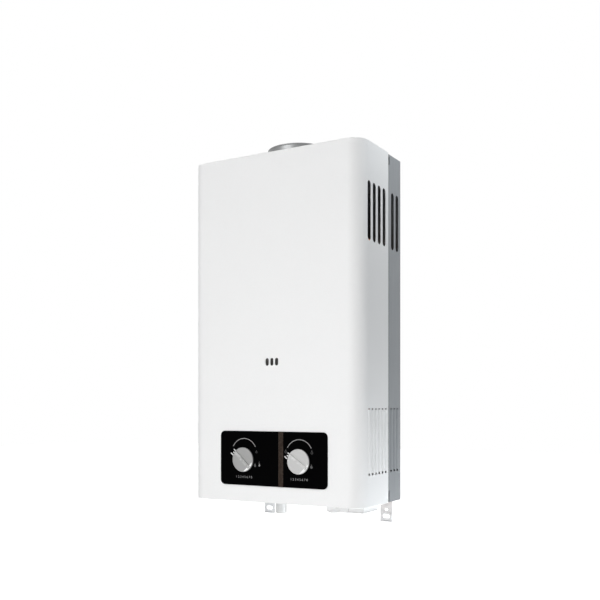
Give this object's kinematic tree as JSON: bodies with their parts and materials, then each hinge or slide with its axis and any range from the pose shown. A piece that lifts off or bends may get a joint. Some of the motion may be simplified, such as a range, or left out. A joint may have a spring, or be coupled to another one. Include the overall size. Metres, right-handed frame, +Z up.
{
  "type": "tankless gas water heater",
  "caption": "Wall-hung tankless gas water heater: white sheet case with side louvres, black panel with two turning knobs, round flue collar, wall tabs and a battery box below.",
  "frame": {"origin": "on the back wall face, midway across the case and halfway up the front cover", "axes": "+Z up, +Y into the wall that it hangs on, +X to the right seen from the front"},
  "size_m": [0.3362, 0.1707, 0.652],
  "materials": {
    "white_enamel": "gloss enamel",
    "galvanised_steel": "galvanised",
    "collar_steel": "rolled sheet",
    "zinc_screw": "zinc plated",
    "spindle_steel": "turned",
    "burner_steel": "heat tinted",
    "clear_sheet": "clear",
    "black_gloss": "gloss",
    "bronze": "satin metallic",
    "knob_dark": "satin",
    "knob_silver": "satin plated",
    "brass": "machined",
    "cast_alloy": "cast",
    "alloy_pipe": "drawn",
    "plated_union": "nickel plated",
    "copper": "bare copper",
    "copper_tinned": "dipped copper",
    "coil_plastic": "moulded",
    "rubber": "moulded",
    "ceramic": "glazed ceramic",
    "white_plastic": "moulded",
    "cell_wrap": "shrink wrap"
  },
  "bodies": {
    "heater": {"front_cover": "white_enamel", "rear_case": "galvanised_steel", "bottom_plate": "galvanised_steel", "hanger_plate": "galvanised_steel", "wall_tab_left": "galvanised_steel", "wall_tab_right": "galvanised_steel", "support_rails": "galvanised_steel", "cover_screws": "zinc_screw", "case_screws": "zinc_screw", "unit_bolts": "zinc_screw", "window_mica": "clear_sheet", "window_frame": "galvanised_steel", "control_panel": "black_gloss", "divider_strip": "bronze", "gland_nuts": "brass", "gas_valve_body": "cast_alloy", "gas_end_plate": "cast_alloy", "gas_inlet_union": "plated_union", "cold_inlet_union": "plated_union", "hot_pipe": "copper", "coil_pipe": "copper", "gas_riser": "alloy_pipe", "gas_manifold": "alloy_pipe", "injectors": "brass", "burner_frame": "galvanised_steel", "burner_bars": "burner_steel", "combustion_chamber": "copper_tinned", "fin_block": "copper", "return_bends": "copper", "draught_hood": "galvanised_steel", "flue_collar": "collar_steel", "solenoid_coil": "coil_plastic", "diaphragm_cover": "cast_alloy", "diaphragm": "rubber", "water_valve_body": "brass", "drain_plug": "white_plastic", "microswitch": "coil_plastic", "switch_bracket": "galvanised_steel", "ignition_box": "coil_plastic", "ignition_lid": "coil_plastic", "electrode_insulators": "ceramic", "electrodes": "spindle_steel", "thermostats": "coil_plastic", "battery_box": "white_plastic", "battery_cells": "cell_wrap", "battery_contacts": "spindle_steel", "door_pin": "spindle_steel"},
    "gas_control": {"gas_knob": "knob_dark", "gas_knob_cap": "knob_silver", "gas_spindle": "brass", "gas_cock_plug": "brass"},
    "water_control": {"water_knob": "knob_dark", "water_knob_cap": "knob_silver", "water_spindle": "brass", "water_regulator": "brass"},
    "valve_rod": {"push_rod": "spindle_steel", "diaphragm_plate": "spindle_steel"},
    "switch_arm": {"switch_lever": "spindle_steel"},
    "safety_plunger": {"solenoid_plunger": "spindle_steel"},
    "battery_flap": {"battery_door": "white_plastic"}
  },
  "joints": [
    {"name": "gas_knob_turn", "type": "hinge", "parent": "heater", "child": "gas_control", "pos_m": [-0.0545, -0.1613, -0.2233], "axis": [0, 1, 0], "range_deg": [0, 165]},
    {"name": "water_knob_turn", "type": "hinge", "parent": "heater", "child": "water_control", "pos_m": [0.0545, -0.1613, -0.2233], "axis": [0, 1, 0], "range_deg": [0, 165]},
    {"name": "valve_rod_slide", "type": "slide", "parent": "heater", "child": "valve_rod", "axis": [-1, 0, 0], "range_m": [0, 0.004], "stiffness_N_per_m": 600, "springref_m": -0.004},
    {"name": "switch_arm_swing", "type": "hinge", "parent": "heater", "child": "switch_arm", "pos_m": [0.0016, -0.045, -0.2445], "axis": [0, -1, 0], "range_deg": [0, 14.4]},
    {"name": "safety_plunger_slide", "type": "slide", "parent": "heater", "child": "safety_plunger", "axis": [-1, 0, 0], "range_m": [0, 0.003], "stiffness_N_per_m": 400, "springref_m": -0.003},
    {"name": "battery_flap_swing", "type": "hinge", "parent": "heater", "child": "battery_flap", "pos_m": [0.12575, -0.0858, -0.3029], "axis": [1, 0, 0], "range_deg": [0, 105]}
  ],
  "couplings": [
    {"joint": "switch_arm_swing", "follows": "valve_rod_slide", "rad_per_m": 62.5}
  ]
}
